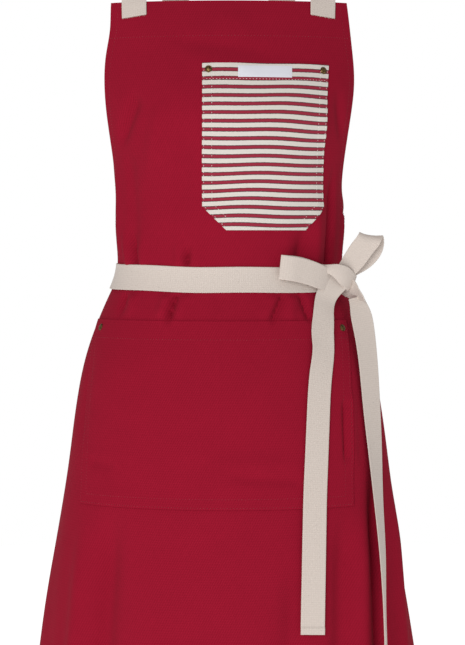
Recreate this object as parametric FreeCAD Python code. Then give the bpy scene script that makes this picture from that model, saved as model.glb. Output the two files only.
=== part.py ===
"""Bib apron in its worn, tied shape: cloth, pockets, rivets, crossed straps and a belt tied in a bow.

Frame: origin midway between the two points where the straps cross the shoulders, +Z up,
+Y towards the wearer's back, so the apron's front faces -Y. Millimetres.
Every layer is placed on one smooth figure: `across` runs round it from the front centre line.
"""
import FreeCAD, Part
import math
import os

Vector = FreeCAD.Vector

# ---- cloth, webbing and rivets ----
cloth = 1.5                  # turned and pressed cotton twill
webbing = 1.3                # cotton webbing
webbing_width = 30.0
sewn_gap = 0.1               # between layers that are sewn flat on each other
belt_gap = 0.4               # between the panel and the belt tied over it
moving_gap = 1.2             # between the belt's moving ends and what they lie on
rivet_cap_radius = 4.0
rivet_cap_height = 1.6
rivet_post_radius = 1.3
rivet_back_radius = 3.5
rivet_back_thickness = 0.8
rivet_seat_gap = 0.25        # a flat rivet head on curved cloth
rivet_hole_clearance = 0.1
rivet_hole_margin = 4.0      # how far the hole's cutter passes the cloth on both sides

# ---- apron panel: heights below the shoulder, half widths measured along the cloth ----
bib_top = -88.0
bib_top_half_width = 137.0
bust_height = -215.0
bust_half_width = 162.0
armhole_height = -300.0
armhole_half_width = 168.0
waist = -400.0
waist_half_width = 285.0
hip_line = -541.0
hem = -930.0
hem_half_width = 330.0

# ---- pockets and label ----
chest_pocket_width = 144.0
chest_pocket_centre = 43.5
chest_pocket_top = -159.5
chest_pocket_height = 184.5
chest_pocket_clip = 26.0
chest_rivet_inset = 7.0
label_width = 60.0
label_height = 13.0
label_drop = 3.0
label_aside = -3.0           # from the middle of the pocket
label_thickness = 0.6
hip_pocket_width = 333.0
hip_pocket_centre = -19.5
hip_pocket_top = -445.0
hip_pocket_height = 207.0
hip_rivet_centre = -14.0
hip_rivet_spread = 152.5       # each rivet, from that centre
hip_rivet_drop = 9.0

# ---- shoulder straps ----
strap_sewn_on_bib = 17.0
strap_sewn_at_back = 22.0
strap_on_bib = 107.0         # across, strap centre at the bib's top edge
strap_on_shoulder = 95.0     # from the centre plane to the strap's centre at its highest point
strap_at_back_inset = 20.0   # strap centre inside the panel's back corner
strap_seat_gap = 0.7         # a flat strap on the rounded bib
strap_foot_gap = 2.2         # between the strap's edges and the panel's inside where it is sewn under
strap_crossing_gap = 0.065 * webbing_width

# ---- bow ----
knot_across = 132.0
knot_width = 27.0
knot_depth = 12.0
knot_height = webbing_width + 1.0
knot_round = 5.0
knot_rise = 5.0              # knot centre above the belt's centre line
loop_width = webbing_width - 4.0     # webbing gathered where it leaves the knot
loop_root_gap = 1.6          # between the knot and where a loop starts
waist_hollow_radius = 32.0   # of the wearer's side, seen from the front
bow_stand_off = (webbing_width / 2) ** 2 / (2 * waist_hollow_radius)
tail_top = waist - webbing_width / 2 - 2.0
side_tail_drop = 3.0         # the side tail starts this much lower
front_tail_end = -789.0
side_tail_end = -846.0

# The figure that the apron is tied round: height, half breadth, depth to the front, to the back.
figure = [
    (-60.0, 176.0, 66.0, 98.0),
    (bib_top, 172.0, 80.0, 102.0),
    (-150.0, 163.0, 104.0, 104.0),
    (bust_height, 149.0, 122.0, 100.0),
    (-262.0, 136.0, 113.0, 93.0),
    (armhole_height, 129.5, 103.0, 88.0),
    (-345.0, 128.5, 95.0, 84.0),
    (waist, 129.0, 92.0, 82.0),
    (waist - 22.0, 138.0, 97.0, 89.0),
    (waist - 47.0, 149.0, 104.0, 96.0),
    (-490.0, 164.0, 114.0, 108.0),
    (hip_line, 174.0, 121.0, 118.0),
    (-643.0, 188.0, 132.0, 130.0),
    (-744.0, 202.0, 144.0, 140.0),
    (hem, 224.0, 164.0, 156.0),
]

# Layers outward from the figure.
panel_out = cloth
pocket_in = panel_out + sewn_gap
pocket_out = pocket_in + cloth
label_in = pocket_out + sewn_gap
belt_in = panel_out + belt_gap
belt_out = belt_in + webbing
rest_lift = pocket_out + moving_gap

wedge_reach = 200.0          # depth of the cutters that clip the chest pocket's corners


def curve_through(table):
    """Smooth curve through (height, value, ...) rows; value(-height) gives a vector of the values."""
    line = Part.BSplineCurve()
    line.interpolate(Points=[Vector(*row[1:]) for row in table], Parameters=[-row[0] for row in table])
    return line


figure_curve = curve_through(figure)
section_steps = 180
sections = {}


def section(height):
    """The figure's half breadth, depths and arc lengths at a height."""
    key = round(height, 4)
    if key not in sections:
        breadth, front, back = figure_curve.value(-height)
        arcs = [0.0]
        for step in range(section_steps):
            angle = math.pi * (step + 0.5) / section_steps
            depth = front if angle < math.pi / 2 else back
            speed = math.hypot(breadth * math.cos(angle), depth * math.sin(angle))
            arcs.append(arcs[-1] + speed * math.pi / section_steps)
        sections[key] = (breadth, front, back, arcs)
    return sections[key]


def half_girth(height):
    return section(height)[3][-1]


def on_figure(across, height, lift):
    """Point `across` mm round the figure from the front centre line, `lift` mm off it."""
    breadth, front, back, arcs = section(height)
    side = -1.0 if across < 0 else 1.0
    arc = abs(across)
    if arc > arcs[-1]:
        arc = 2 * arcs[-1] - arc
        side = -side
    step = 0
    while step < section_steps - 1 and arcs[step + 1] < arc:
        step += 1
    angle = math.pi * (step + (arc - arcs[step]) / (arcs[step + 1] - arcs[step])) / section_steps
    depth = front if angle < math.pi / 2 else back
    outward = Vector(side * depth * math.sin(angle), -breadth * math.cos(angle), 0).normalize()
    return Vector(side * breadth * math.sin(angle), -depth * math.cos(angle), height) + outward * lift


def outward_at(across, height):
    """Unit normal of the figure's surface, pointing away from the wearer."""
    along = on_figure(across + 1, height, 0) - on_figure(across - 1, height, 0)
    down = on_figure(across, height - 1, 0) - on_figure(across, height + 1, 0)
    return down.cross(along).normalize()


def beside(x, height, lift, face):
    """Point on the figure at a given x, with its outward direction; face is -1 in front, 1 behind."""
    breadth, front, back, arcs = section(height)
    depth = front if face < 0 else back
    y = face * depth * math.sqrt(1 - (x / breadth) ** 2)
    outward = Vector(x / breadth ** 2, y / depth ** 2, 0).normalize()
    return Vector(x, y, height) + outward * lift, outward


def sheet(place, rows, columns, low, high):
    """Closed solid between two lifts of a sheet; place(down, across, lift) takes fractions 0 to 1."""
    skins = []
    for lift in (low, high):
        grid = [[place(row / rows, column / columns, lift) for column in range(columns + 1)]
                for row in range(rows + 1)]
        skin = Part.BSplineSurface()
        skin.interpolate(grid)
        skins.append(skin)
    faces = [skin.toShape() for skin in skins]
    for end in range(4):
        rims = []
        for skin in skins:
            iso = skin.uIso if end < 2 else skin.vIso
            rims.append(Part.Wire(iso(skin.bounds()[end]).toShape()))
        faces.extend(Part.makeLoft(rims, False, True).Faces)
    shell = Part.makeShell(faces)
    solid = Part.Solid(shell)
    if solid.Volume < 0:
        solid.reverse()
    return solid


def wrapped(top, bottom, reach, low, high, rows, columns):
    """Sheet laid round the figure from height top to bottom; reach(height) gives its two edges."""
    def place(down, sideways, lift):
        height = top + (bottom - top) * down
        left, right = reach(height)
        return on_figure(left + (right - left) * sideways, height, lift)
    return sheet(place, rows, columns, low, high)


def ribbon(route, width, thickness, rows):
    """Webbing along a route of (point, outward) pairs, its inner face on the points."""
    places = [Vector(pair[0]) for pair in route]
    lengths = [0.0]
    for before, after in zip(places, places[1:]):
        lengths.append(lengths[-1] + (after - before).Length)
    line = Part.BSplineCurve()
    line.interpolate(Points=places, Parameters=lengths)

    def place(along, sideways, lift):
        at = lengths[-1] * along
        step = 0
        while step < len(lengths) - 2 and lengths[step + 1] < at:
            step += 1
        share = (at - lengths[step]) / (lengths[step + 1] - lengths[step])
        outward = route[step][1] * (1 - share) + route[step + 1][1] * share
        forward = line.tangent(at)[0]
        side = forward.cross(outward).normalize()
        normal = side.cross(forward).normalize()
        return line.value(at) + side * width * (sideways - 0.5) + normal * lift
    return sheet(place, rows, 3, 0.0, thickness)


def armhole_curve():
    spread = waist_half_width - armhole_half_width
    drop = waist - armhole_height
    widths = [(bib_top, bib_top_half_width),
              (0.5 * (bib_top + bust_height), 0.45 * bib_top_half_width + 0.55 * bust_half_width),
              (bust_height, bust_half_width),
              (armhole_height, armhole_half_width),
              (armhole_height + 0.45 * drop, armhole_half_width + 0.18 * spread),
              (armhole_height + 0.80 * drop, armhole_half_width + 0.60 * spread),
              (waist, waist_half_width)]
    return curve_through([(height, half, 0, 0) for height, half in widths])


bib_edge = armhole_curve()


def panel_half_width(height):
    if height < waist:
        return waist_half_width + (hem_half_width - waist_half_width) * (height - waist) / (hem - waist)
    return bib_edge.value(-height).x


def rivet(across, height, face):
    """Rivet through the cloth at a place on the figure: cap, post and the hole for the post."""
    axis = outward_at(across, height)
    foot = on_figure(across, height, 0)
    seat = foot + axis * (face + rivet_seat_gap)
    back = foot - axis * (rivet_seat_gap + rivet_back_thickness)
    cap = Part.makeCylinder(rivet_cap_radius, rivet_cap_height, seat, axis)
    rim = [edge for edge in cap.Edges if (edge.CenterOfMass - seat).Length > rivet_cap_height / 2]
    rim = [edge for edge in rim if edge.Closed]
    cap = cap.makeFillet(0.8 * rivet_cap_height, rim)
    post = Part.makeCylinder(rivet_back_radius, rivet_back_thickness, back, axis)
    post = post.fuse(Part.makeCylinder(rivet_post_radius, (seat - back).Length, back, axis))
    hole = Part.makeCylinder(rivet_post_radius + rivet_hole_clearance, face + 2 * rivet_hole_margin,
                             foot - axis * rivet_hole_margin, axis)
    return cap, post, hole


def build_panel(holes):
    """Bib and skirt in one piece; its rows lie closest together down to the hips."""
    heights = []
    for start, stop, rows in ((bib_top, waist, 36), (waist, hip_line, 16), (hip_line, hem, 14)):
        heights += [start + (stop - start) * row / rows for row in range(rows)]
    heights.append(hem)

    def place(down, sideways, lift):
        height = heights[round(down * (len(heights) - 1))]
        return on_figure(panel_half_width(height) * (2 * sideways - 1), height, lift)
    panel = sheet(place, len(heights) - 1, 36, 0.0, panel_out)
    for hole in holes:
        panel = panel.cut(hole)
    return panel


def build_chest_pocket(holes):
    left = chest_pocket_centre - chest_pocket_width / 2
    bottom = chest_pocket_top - chest_pocket_height
    pocket = wrapped(chest_pocket_top, bottom, lambda height: (left, left + chest_pocket_width),
                     pocket_in, pocket_out, 22, 14)
    for side in (-1, 1):
        edge = chest_pocket_centre + side * chest_pocket_width / 2
        corner = on_figure(edge, bottom, pocket_out)
        inner = on_figure(edge - side * chest_pocket_clip, bottom, pocket_out)
        upper = on_figure(edge, bottom + chest_pocket_clip, pocket_out)
        beyond = corner * 3 - inner - upper
        outline = [Vector(p.x, -wedge_reach, p.z) for p in (inner * 2 - upper, upper * 2 - inner, beyond)]
        wedge = Part.Face(Part.makePolygon(outline + outline[:1])).extrude(Vector(0, wedge_reach, 0))
        pocket = pocket.cut(wedge)
    for hole in holes:
        pocket = pocket.cut(hole)
    return pocket


def build_label():
    top = chest_pocket_top - label_drop
    left = chest_pocket_centre + label_aside - label_width / 2
    return wrapped(top, top - label_height, lambda height: (left, left + label_width),
                   label_in, label_in + label_thickness, 4, 6)


def build_hip_pocket(holes):
    left = hip_pocket_centre - hip_pocket_width / 2
    pocket = wrapped(hip_pocket_top, hip_pocket_top - hip_pocket_height,
                     lambda height: (left, left + hip_pocket_width), pocket_in, pocket_out, 24, 26)
    for hole in holes:
        pocket = pocket.cut(hole)
    return pocket


def build_strap(side, crossing_lift):
    """Strap from the bib over one shoulder, across the back to the panel's opposite corner."""
    lift = panel_out + strap_seat_gap
    route = []
    for height in (bib_top - strap_sewn_on_bib, bib_top - strap_sewn_on_bib / 2, bib_top):
        route.append((on_figure(side * strap_on_bib, height, lift),
                      outward_at(side * strap_on_bib, height)))
    chest = route[-1][0]
    top_x = side * strap_on_shoulder
    for drop, forward, lean in ((0.75, 0.84, 65), (0.48, 0.665, 65), (0.236, 0.51, 62),
                                (0.095, 0.36, 40), (0.025, 0.19, 20)):
        tilt = math.radians(lean)
        route.append((Vector(top_x + (chest.x - top_x) * drop, chest.y * forward, chest.z * drop),
                      Vector(0, -math.sin(tilt), math.cos(tilt))))
    route.append((Vector(top_x, 0, 0), Vector(0, 0, 1)))
    foot = on_figure(side * (strap_at_back_inset - panel_half_width(waist)),
                     waist - strap_sewn_at_back, 0)
    lean_in = (foot.x - top_x) / foot.z
    breadth, front, back, arcs = section(waist)
    edge_rise = (webbing_width / 2) ** 2 * breadth / (2 * back ** 2)
    under_panel = webbing + edge_rise + strap_foot_gap
    for height, behind, lean in ((-2.7, 15.4, 20), (-10.5, 29.0, 40), (-24.0, 45.0, 48),
                                 (-42.0, 62.0, 52), (-62.0, 79.0, 58)):
        tilt = math.radians(lean)
        route.append((Vector(top_x + lean_in * height, behind, height),
                      Vector(0, math.sin(tilt), math.cos(tilt))))
    for part in (0.2, 0.3, 0.4, 0.5, 0.6, 0.7, 0.8, 0.88, 0.94, 1.0):
        x = top_x + lean_in * foot.z * part
        over = crossing_lift * math.exp(-((x / 48.0) ** 4))
        under = under_panel * min(1.0, max(0.0, (part - 0.6) / 0.2))
        route.append(beside(x, foot.z * part, over - under, 1))
    return ribbon(route, webbing_width, webbing, 44)


def build_belt():
    """The belt's run round the waist; its two ends meet behind the knot."""
    around = half_girth(waist)

    def reach(height):
        share = half_girth(height) / around
        return (knot_across + sewn_gap - 2 * around) * share, (knot_across - sewn_gap) * share
    top = waist + webbing_width / 2
    return wrapped(top, top - webbing_width, reach, belt_in, belt_out, 5, 64)


def knot_frame():
    """Centre of the knot, the direction round the body and the direction outward."""
    height = waist + knot_rise
    outward = on_figure(knot_across, height, 1) - on_figure(knot_across, height, 0)
    centre = on_figure(knot_across, height, belt_out + bow_stand_off + knot_depth / 2)
    return centre, Vector(-outward.y, outward.x, 0), outward


def build_knot():
    centre, around, outward = knot_frame()
    block = Part.makeBox(knot_width, knot_depth, knot_height,
                         Vector(-knot_width / 2, -knot_depth / 2, -knot_height / 2))
    block = block.makeFillet(knot_round, block.Edges)
    turn = math.degrees(math.atan2(around.y, around.x))
    block.rotate(Vector(), Vector(0, 0, 1), turn)
    block.translate(centre)
    return block


def looped(places, across_width):
    """Webbing folded back on itself through the places, its width lying along one direction."""
    route = []
    for index, place in enumerate(places):
        before = places[max(index - 1, 0)]
        after = places[min(index + 1, len(places) - 1)]
        route.append((place, across_width.cross((after - before).normalize())))
    return ribbon(route, loop_width, -webbing, 30)


def build_loop_left():
    """Loop that lies over the belt, its two layers joined by a fold at the far end."""
    start = knot_across - knot_width / 2 - loop_root_gap
    belt_side = belt_out + bow_stand_off
    path = [(0, -2, 3), (12, 1, 2), (25, 4, 1.5), (38, 7, 1.2), (50, 9, 1.5), (56, 10, 4.5),
            (50, 9, 8.5), (38, 7, 9), (25, 4, 8.5), (12, 1, 7.5), (0, -2, 6)]
    places = [on_figure(start - out, waist + knot_rise + rise, belt_side + lift)
              for out, rise, lift in path]
    return looped(places, Vector(0.12, 0, 1))


def build_loop_right():
    """Loop that stands up and away from the wearer's side."""
    centre, around, outward = knot_frame()
    root = centre + Vector(5, -4, knot_height / 2 + loop_root_gap)
    path = [(0, -2, 0), (9, -6, 9), (20, -10, 20), (30, -12, 28), (35.5, -9, 32.5),
            (33, -3, 30.5), (23, 0, 21), (12, 2, 10), (4, 2, 1.5)]
    return looped([root + Vector(*step) for step in path], Vector(0.85, 0.15, -0.5))


def build_front_tail():
    """End of the belt that hangs down the front, lying on the hip pocket and the skirt."""
    fall = front_tail_end - tail_top
    sway = curve_through([(0, 109.5, 0, 0), (-0.04, 108.5, 0, 0), (-0.12, 104.5, 0, 0),
                          (-0.3, 99.0, 0, 0), (-0.6, 94.5, 0, 0), (-1, 91.5, 0, 0)])
    steps = 24
    route = []
    for step in range(steps + 1):
        down = step / steps
        lift = rest_lift + 2.5 * (1 - down) ** 6
        route.append(beside(sway.value(down).x, tail_top + fall * down, lift, -1))
    return ribbon(route, webbing_width, webbing, 36)


def build_side_tail():
    """End of the belt that hangs beside the hip and turns edge-on as it falls."""
    top = tail_top - side_tail_drop
    fall = side_tail_end - top
    route = []
    # How far down, the inner edge's x and y, and how far the webbing is turned from facing the front.
    for down, x, y, turn in ((0, 124, -49.5, 5), (0.04, 132, -53, 7), (0.09, 137, -56.5, 10),
                             (0.27, 149.5, -67.5, 45), (0.41, 158.5, -71.5, 55), (0.54, 164.5, -81.5, 65),
                             (0.67, 170, -95.5, 73), (0.8, 174, -109, 80),
                             (0.92, 175.5, -118, 82), (1, 176, -123, 80)):
        turned = math.radians(turn)
        edge = Vector(x, y, top + fall * down)
        middle = edge + Vector(math.cos(turned), math.sin(turned), 0) * (webbing_width / 2)
        route.append((middle, Vector(math.sin(turned), -math.cos(turned), 0)))
    return ribbon(route, webbing_width, webbing, 34)


parts = {}


def main():
    os.makedirs("parts", exist_ok=True)
    chest_height = chest_pocket_top - chest_rivet_inset
    chest = [rivet(chest_pocket_centre + side * (chest_pocket_width / 2 - chest_rivet_inset),
                   chest_height, pocket_out) for side in (-1, 1)]
    hip_height = hip_pocket_top - hip_rivet_drop
    hip = [rivet(hip_rivet_centre + side * hip_rivet_spread,
                 hip_height, pocket_out) for side in (-1, 1)]
    chest_holes = [hole for cap, post, hole in chest]
    hip_holes = [hole for cap, post, hole in hip]
    parts["apron_panel"] = build_panel(chest_holes + hip_holes)
    parts["chest_pocket"] = build_chest_pocket(chest_holes)
    parts["chest_label"] = build_label()
    parts["hip_pocket"] = build_hip_pocket(hip_holes)
    parts["chest_rivet_caps"] = Part.makeCompound([cap for cap, post, hole in chest])
    parts["chest_rivet_posts"] = Part.makeCompound([post for cap, post, hole in chest])
    parts["hip_rivet_caps"] = Part.makeCompound([cap for cap, post, hole in hip])
    parts["hip_rivet_posts"] = Part.makeCompound([post for cap, post, hole in hip])
    parts["shoulder_strap_left"] = build_strap(-1, 0.0)
    parts["shoulder_strap_right"] = build_strap(1, webbing + strap_crossing_gap)
    parts["waist_belt"] = build_belt()
    parts["bow_knot"] = build_knot()
    parts["bow_loop_left"] = build_loop_left()
    parts["bow_loop_right"] = build_loop_right()
    parts["front_tail"] = build_front_tail()
    parts["side_tail"] = build_side_tail()
    for name, shape in parts.items():
        shape.exportStep("parts/" + name + ".step")
        print(name, shape.isValid(), len(shape.Solids), round(shape.Volume, 1), shape.BoundBox)


main()
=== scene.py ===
"""Bib apron in its worn, tied shape: red twill, ticking chest pocket, webbing straps and a tied belt."""
import math

import bpy
import numpy as np
from mathutils import Matrix, Vector


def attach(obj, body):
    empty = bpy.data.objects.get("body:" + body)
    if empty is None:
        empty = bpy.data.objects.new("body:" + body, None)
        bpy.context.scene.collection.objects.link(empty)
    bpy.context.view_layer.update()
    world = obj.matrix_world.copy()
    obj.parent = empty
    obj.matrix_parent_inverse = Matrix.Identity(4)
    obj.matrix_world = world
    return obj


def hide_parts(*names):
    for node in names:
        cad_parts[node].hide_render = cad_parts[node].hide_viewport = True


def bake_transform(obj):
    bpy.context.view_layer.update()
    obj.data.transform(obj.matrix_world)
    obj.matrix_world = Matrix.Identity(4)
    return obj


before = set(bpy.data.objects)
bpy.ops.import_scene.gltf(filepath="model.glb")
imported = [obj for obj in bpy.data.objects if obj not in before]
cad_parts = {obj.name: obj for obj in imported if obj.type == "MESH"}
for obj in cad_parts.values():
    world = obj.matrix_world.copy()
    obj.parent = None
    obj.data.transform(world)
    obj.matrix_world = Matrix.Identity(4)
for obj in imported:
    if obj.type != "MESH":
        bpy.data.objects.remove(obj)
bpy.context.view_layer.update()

# ---------------------------------------------------------------- studio
# A plain white surround gives even light from all round. One broad soft light stands in front,
# a little to the left, so that the sides fall off in tone as they turn away from it.
# The floor is a pale painted disc below the hem, with a little glow of its own like a light table.


def linear(code):
    """The linear colour of an sRGB hex code."""
    parts = [int(code[at:at + 2], 16) / 255 for at in (1, 3, 5)]
    return tuple(p / 12.92 if p <= 0.04045 else ((p + 0.055) / 1.055) ** 2.4 for p in parts) + (1.0,)


def add(tree, kind, links=None, **settings):
    """A shader node, with its settings and with a value or another node's output on each socket named."""
    node = tree.nodes.new("ShaderNode" + kind)
    for name, value in settings.items():
        setattr(node, name, value)
    for name, value in (links or {}).items():
        if isinstance(value, bpy.types.NodeSocket):
            tree.links.new(value, node.inputs[name])
        else:
            node.inputs[name].default_value = value
    return node


def new_material(name, constants):
    """A node material and its Principled shader, with constants on the shader's own sockets."""
    material = bpy.data.materials.new(name)
    material.use_nodes = True
    shader = material.node_tree.nodes["Principled BSDF"]
    for socket, value in constants.items():
        shader.inputs[socket].default_value = value
    return material, material.node_tree, shader


scene = bpy.context.scene
scene.view_settings.view_transform = "Standard"
world = bpy.data.worlds.new("white_surround")
world.use_nodes = True
surround = world.node_tree.nodes["Background"]
seen = add(world.node_tree, "LightPath").outputs["Is Camera Ray"]
strength = add(world.node_tree, "MapRange", {"Value": seen, "To Min": 0.5, "To Max": 1.0}).outputs["Result"]
world.node_tree.links.new(strength, surround.inputs["Strength"])
surround.inputs["Color"].default_value = (1, 1, 1, 1)
scene.world = world

key = bpy.data.lights.new("front_softbox", "AREA")
key.shape = "RECTANGLE"
key.size, key.size_y = 1.1, 1.5
key.energy = 44
key_object = bpy.data.objects.new("front_softbox", key)
key_object.location = (-0.85, -2.95, -0.05)
key_aim = Vector((0.03, -0.05, -0.45)) - key_object.location
key_object.rotation_euler = key_aim.to_track_quat("-Z", "Y").to_euler()
scene.collection.objects.link(key_object)

bpy.ops.object.select_all(action="DESELECT")
bpy.ops.mesh.primitive_circle_add(vertices=64, radius=1.7, fill_type="NGON", location=(0, 0.2, -0.96))
floor = bpy.context.object
floor.name = "floor"
paint, tree, shader = new_material("matt_white_paint",
                                   {"Roughness": 0.9, "Emission Color": linear("#FFFFFF"),
                                    "Emission Strength": 0.6})
speck = add(tree, "TexNoise", {"Vector": add(tree, "TexCoord").outputs["Object"], "Scale": 60.0})
tone = add(tree, "ValToRGB", {"Fac": speck.outputs["Fac"]})
tone.color_ramp.elements[0].color = linear("#F4F3F1")
tone.color_ramp.elements[1].color = linear("#F8F8F7")
tree.links.new(tone.outputs["Color"], shader.inputs["Base Color"])
floor.data.materials.append(paint)

camera_data = bpy.data.cameras.new("camera")
camera_data.lens = 174.9
camera_data.sensor_width = 36
camera_data.sensor_fit = "HORIZONTAL"
camera = bpy.data.objects.new("camera", camera_data)
camera.location = (0.0045, -2.61, -0.355)
camera_aim = Vector((0.0045, -0.06, -0.448)) - camera.location
camera.rotation_euler = camera_aim.to_track_quat("-Z", "Y").to_euler()
scene.collection.objects.link(camera)
scene.camera = camera

# ---------------------------------------------------------------- apron panel
# Bib and skirt, cut in one piece from mid-weight cotton twill, dyed deep red, with turned and
# stitched hems. It hangs from the straps, is pulled in by the belt and falls free below it.
# Sizes here are in millimetres on the wearer; `drop` is the distance below the shoulders.

mm = 0.001


def smooth_through(rows):
    """A smooth line through rows of (position, value, ...), as a function of the position."""
    table = np.array(rows, float)
    at, values = table[:, 0], table[:, 1:]
    gaps = np.diff(at)
    system = np.eye(len(at))
    right = np.zeros_like(values)
    for i in range(1, len(at) - 1):
        system[i, i - 1:i + 2] = gaps[i - 1], 2 * (gaps[i - 1] + gaps[i]), gaps[i]
        right[i] = 6 * ((values[i + 1] - values[i]) / gaps[i] - (values[i] - values[i - 1]) / gaps[i - 1])
    bend = np.linalg.solve(system, right)

    def line(where):
        where = np.atleast_1d(np.asarray(where, float))
        step = np.clip(np.searchsorted(at, where) - 1, 0, len(at) - 2)
        a = ((at[step + 1] - where) / gaps[step])[:, None]
        b = 1 - a
        curve = (a ** 3 - a) * bend[step] + (b ** 3 - b) * bend[step + 1]
        return a * values[step] + b * values[step + 1] + curve * (gaps[step] ** 2)[:, None] / 6
    return line


# The wearer's shape: drop, half breadth, depth to the front, depth to the back.
figure_line = smooth_through([
    (60, 176, 66, 98), (88, 172, 80, 102), (150, 163, 104, 104), (215, 149, 122, 100), (262, 136, 113, 93),
    (300, 129.5, 103, 88), (345, 128.5, 95, 84), (400, 129, 92, 82), (422, 138, 97, 89), (447, 149, 104, 96),
    (490, 164, 114, 108), (541, 174, 121, 118), (643, 188, 132, 130), (744, 202, 144, 140),
    (930, 224, 164, 156)])
turns = np.linspace(0, math.pi, 181)
middles = (turns[1:] + turns[:-1]) / 2


def girth(drop):
    """Half breadth, depths and the arc lengths round the wearer at a drop."""
    breadth, front, back = figure_line(drop)[0]
    depth = np.where(middles < math.pi / 2, front, back)
    speed = np.hypot(breadth * np.cos(middles), depth * np.sin(middles))
    return breadth, front, back, np.concatenate([[0], np.cumsum(speed) * math.pi / len(middles)])


def on_figure(across, drop, lift):
    """Points `across` mm round the wearer from the front centre line, lifted off the body."""
    across, drop, lift = np.broadcast_arrays(np.asarray(across, float), np.asarray(drop, float),
                                             np.asarray(lift, float))
    places = np.empty(across.shape + (3,))
    for value in np.unique(drop):
        here = drop == value
        breadth, front, back, arcs = girth(value)
        side = np.where(across[here] < 0, -1.0, 1.0)
        arc = np.abs(across[here])
        past = arc > arcs[-1]
        side = np.where(past, -side, side)
        arc = np.where(past, 2 * arcs[-1] - arc, arc)
        turn = np.interp(arc, arcs, turns)
        depth = np.where(turn < math.pi / 2, front, back)
        outward = np.stack([side * depth * np.sin(turn), -breadth * np.cos(turn)], -1)
        outward /= np.linalg.norm(outward, axis=-1, keepdims=True)
        spot = np.stack([side * breadth * np.sin(turn), -depth * np.cos(turn)], -1)
        spot += outward * lift[here][:, None]
        places[here] = np.concatenate([spot, np.full((len(spot), 1), -value)], -1)
    return places


def across_at(x, drop):
    """How far round the wearer the front has come at a given x."""
    breadth, front, back, arcs = girth(drop)
    return math.copysign(np.interp(math.asin(min(1.0, abs(x) / breadth)), turns, arcs), x)


def ease(value, low, high):
    """0 below low, 1 above high and smooth between them."""
    share = np.clip((value - low) / (high - low), 0, 1)
    return share * share * (3 - 2 * share)


# Folds that the body, the straps and the belt pull into the cloth: the two ends as (x, drop),
# how far it stands out (a dip is negative), how wide it is to one side, and the length over
# which each end fades.
folds = [
    # creases gathered above the belt
    (-103, 392, -110, 338, -6.5, 3.4, 4, 34), (-112, 392, -118, 330, 4.5, 6, 4, 40),
    (-95, 392, -100, 330, 3, 6.5, 4, 40),
    (-47, 392, -44, 356, -6, 3.2, 4, 22), (-55, 392, -56, 345, 3.5, 5.5, 4, 30),
    (-38, 392, -30, 335, 2.6, 8, 4, 36),
    (76, 392, 84, 335, -4.5, 6.5, 4, 34), (64, 392, 66, 335, 2.8, 9, 4, 40),
    (112, 392, 119, 265, -7, 6.5, 6, 55), (96, 392, 101, 290, 4.5, 9, 6, 60),
    (126, 392, 131, 280, 4, 6, 6, 60),
    # soft folds falling from the bust
    (-98, 190, -122, 252, -6.5, 9, 18, 26), (-112, 250, -103, 372, -3.2, 10, 30, 20),
    (-72, 196, -92, 300, 3.6, 11, 30, 50), (-44, 215, -58, 340, -2.6, 11, 40, 50),
    (-24, 225, -34, 350, 2.2, 12, 40, 50), (-128, 262, -121, 380, 3, 9, 30, 20),
    (120, 180, 127, 250, -4, 8, 30, 30), (104, 190, 108, 260, 2.5, 8, 30, 30),
    # slack under the bib's hem
    (-70, 131, 58, 149, -2.6, 9, 40, 30), (-60, 150, 40, 168, 1.6, 10, 40, 30),
    (-20, 104, 30, 112, 1.6, 12, 20, 20),
    # creases let out below the belt
    (-113, 408, -124, 446, -5, 3.6, 4, 18), (-104, 408, -112, 446, 3.4, 5.5, 4, 22),
    (-55, 408, -69, 450, -6.5, 3.4, 4, 12), (-64, 408, -80, 448, 4.5, 6, 4, 18),
    (-46, 408, -58, 450, 3, 6, 4, 20),
    (64, 408, 46, 450, -4.8, 3.6, 4, 12), (55, 408, 36, 448, 3.2, 6, 4, 18),
    (77, 408, 92, 450, -5, 3.6, 4, 12), (70, 410, 68, 452, 3.4, 7, 4, 20),
    (-8, 410, -14, 448, -1.6, 7, 4, 24),
    # the hip pocket's cloth, pressed and sat in
    (-10, 460, -10, 640, 0.5, 2.5, 20, 20), (-8, 615, 84, 622, -2.4, 5, 30, 14),
    (-30, 600, 90, 604, 1.3, 9, 40, 30), (-156, 604, -124, 608, -2, 5, 10, 12),
    (128, 530, 130, 608, -4.5, 3, 14, 20), (137, 520, 140, 620, 2.6, 6, 20, 30),
    (-150, 470, -168, 600, -2, 10, 30, 40), (-60, 560, -66, 640, 1, 20, 40, 30),
    # flutes of the skirt
    (-128, 640, -150, 960, -11, 15, 90, 30), (-160, 655, -184, 960, 6, 13, 90, 30),
    (-92, 700, -98, 960, 4, 22, 100, 30), (-40, 740, -44, 960, -3, 26, 120, 30),
    (20, 720, 24, 960, 3, 26, 120, 30), (70, 680, 66, 960, -5, 12, 110, 30),
    (128, 640, 122, 960, -8, 13, 90, 30), (148, 640, 152, 960, 5.5, 11, 80, 30),
    (160, 600, 176, 960, -11, 9, 100, 30), (180, 600, 205, 960, 6, 13, 110, 30),
]
fold_lines = [((across_at(x0, d0), d0), (across_at(x1, min(d1, 929)), d1), height, spread, fade0, fade1)
              for x0, d0, x1, d1, height, spread, fade0, fade1 in folds]


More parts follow.
